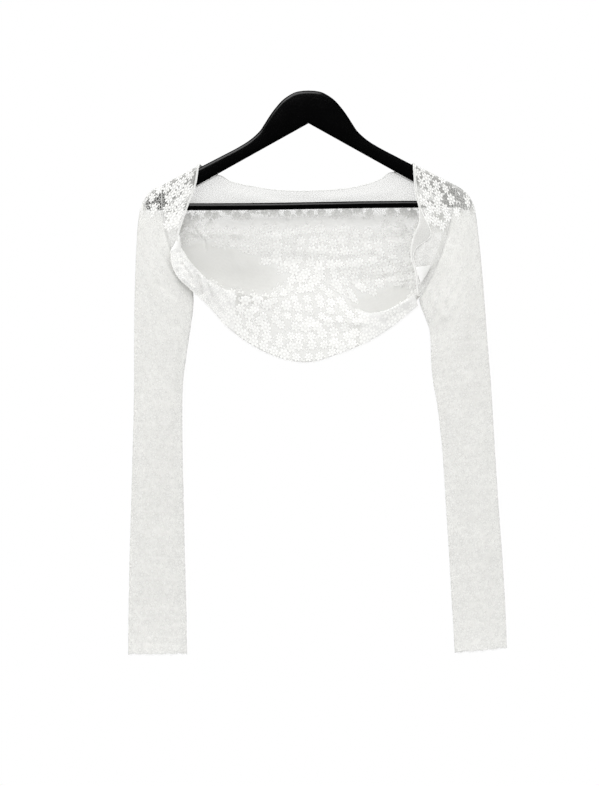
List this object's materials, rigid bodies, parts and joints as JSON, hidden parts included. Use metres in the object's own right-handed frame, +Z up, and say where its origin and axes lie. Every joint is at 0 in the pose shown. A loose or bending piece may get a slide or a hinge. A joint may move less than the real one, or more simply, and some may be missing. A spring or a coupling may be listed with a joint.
{
  "type": "lace bolero on a hanger",
  "caption": "Floral lace bolero with an open front and long narrow sleeves, hung on a flat black wooden hanger with a trouser bar.",
  "frame": {"origin": "top of the hanger's crest, in the middle of its thickness", "axes": "+Z up, +X to the image's right, the garment's front faces -Y"},
  "size_m": [0.5137, 0.0383, 0.762],
  "materials": {
    "lace": "sheer white stretch lace with raised flowers",
    "black_wood": "black satin lacquer"
  },
  "bodies": {
    "root": {"back_panel": "lace", "front_left": "lace", "front_right": "lace", "sleeve_left": "lace", "sleeve_right": "lace", "hanger_frame": "black_wood", "trouser_bar": "black_wood"}
  },
  "joints": []
}
